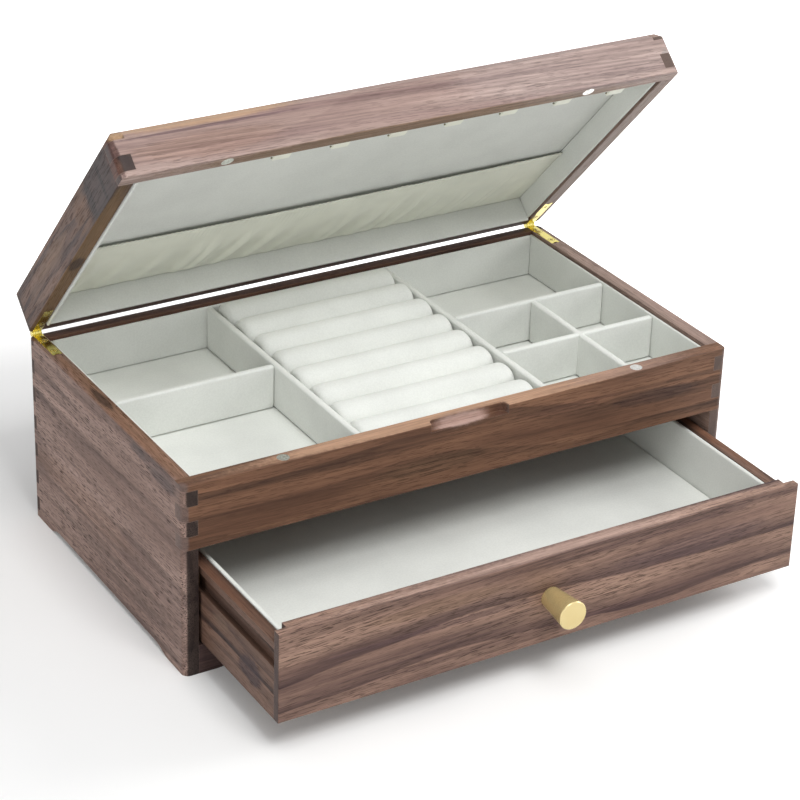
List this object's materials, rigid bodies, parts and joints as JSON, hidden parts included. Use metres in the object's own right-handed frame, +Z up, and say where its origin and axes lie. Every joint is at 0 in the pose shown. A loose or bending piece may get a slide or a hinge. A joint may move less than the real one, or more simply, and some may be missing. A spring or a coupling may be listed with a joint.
{
  "type": "ring box with drawer",
  "caption": "Wooden jewellery box with box-jointed corners, a hinged lid, a velvet-lined tray with ring rolls and bays, and a lined drawer below with a cone knob.",
  "frame": {"origin": "on the floor, under the middle of the closed carcass", "axes": "+X to the user's right along the box's length, +Y to the back where the hinges are, +Z up"},
  "size_m": [0.3, 0.2776, 0.2405],
  "materials": {
    "walnut": "satin",
    "drawer_wood": "satin",
    "plain_wood": "matte",
    "velvet": "matte",
    "satin": "satin",
    "brass": "polished",
    "magnet_steel": "satin",
    "screw_steel": "satin"
  },
  "bodies": {
    "carcass": {"side_left": "walnut", "side_right": "walnut", "back_board": "walnut", "front_top_rail": "walnut", "front_bottom_rail": "walnut", "tray_board": "plain_wood", "bottom_panel": "plain_wood", "runner_left": "plain_wood", "runner_right": "plain_wood", "drawer_stop": "plain_wood", "box_magnet_left": "magnet_steel", "box_magnet_right": "magnet_steel", "tray_floor": "velvet", "tray_wall_left": "velvet", "tray_wall_right": "velvet", "tray_wall_front": "velvet", "tray_wall_back": "velvet", "left_divider": "velvet", "right_divider": "velvet", "left_cross_divider": "velvet", "right_rear_cross_divider": "velvet", "right_front_cross_divider": "velvet", "right_long_divider": "velvet", "ring_roll_1": "velvet", "ring_roll_2": "velvet", "ring_roll_3": "velvet", "ring_roll_4": "velvet", "ring_roll_5": "velvet", "ring_roll_6": "velvet", "ring_roll_7": "velvet", "ring_roll_8": "velvet", "hinge_lower_leaf_left": "brass", "hinge_lower_leaf_right": "brass", "hinge_lower_screws": "brass", "hinge_pin_left": "brass", "hinge_pin_right": "brass"},
    "lid": {"lid_left": "walnut", "lid_right": "walnut", "lid_front": "walnut", "lid_back": "walnut", "lid_panel": "walnut", "lid_lining_top": "velvet", "lid_lining_walls": "velvet", "lid_pocket": "satin", "lid_magnet_left": "magnet_steel", "lid_magnet_right": "magnet_steel", "hinge_upper_leaf_left": "brass", "hinge_upper_leaf_right": "brass", "hinge_upper_screws": "brass"},
    "drawer": {"drawer_front": "walnut", "drawer_left": "drawer_wood", "drawer_right": "drawer_wood", "drawer_back": "drawer_wood", "drawer_bottom": "plain_wood", "drawer_lining_walls": "velvet", "drawer_floor_pad": "velvet", "knob": "brass", "knob_screw": "screw_steel"}
  },
  "joints": [
    {"name": "lid_hinge", "type": "hinge", "parent": "carcass", "child": "lid", "pos_m": [0, 0.0867, 0.10015], "axis": [-1, 0, 0], "range_deg": [-47.5, 47.5]},
    {"name": "drawer_slide", "type": "slide", "parent": "carcass", "child": "drawer", "axis": [0, -1, 0], "range_m": [-0.0734, 0.0615]}
  ]
}
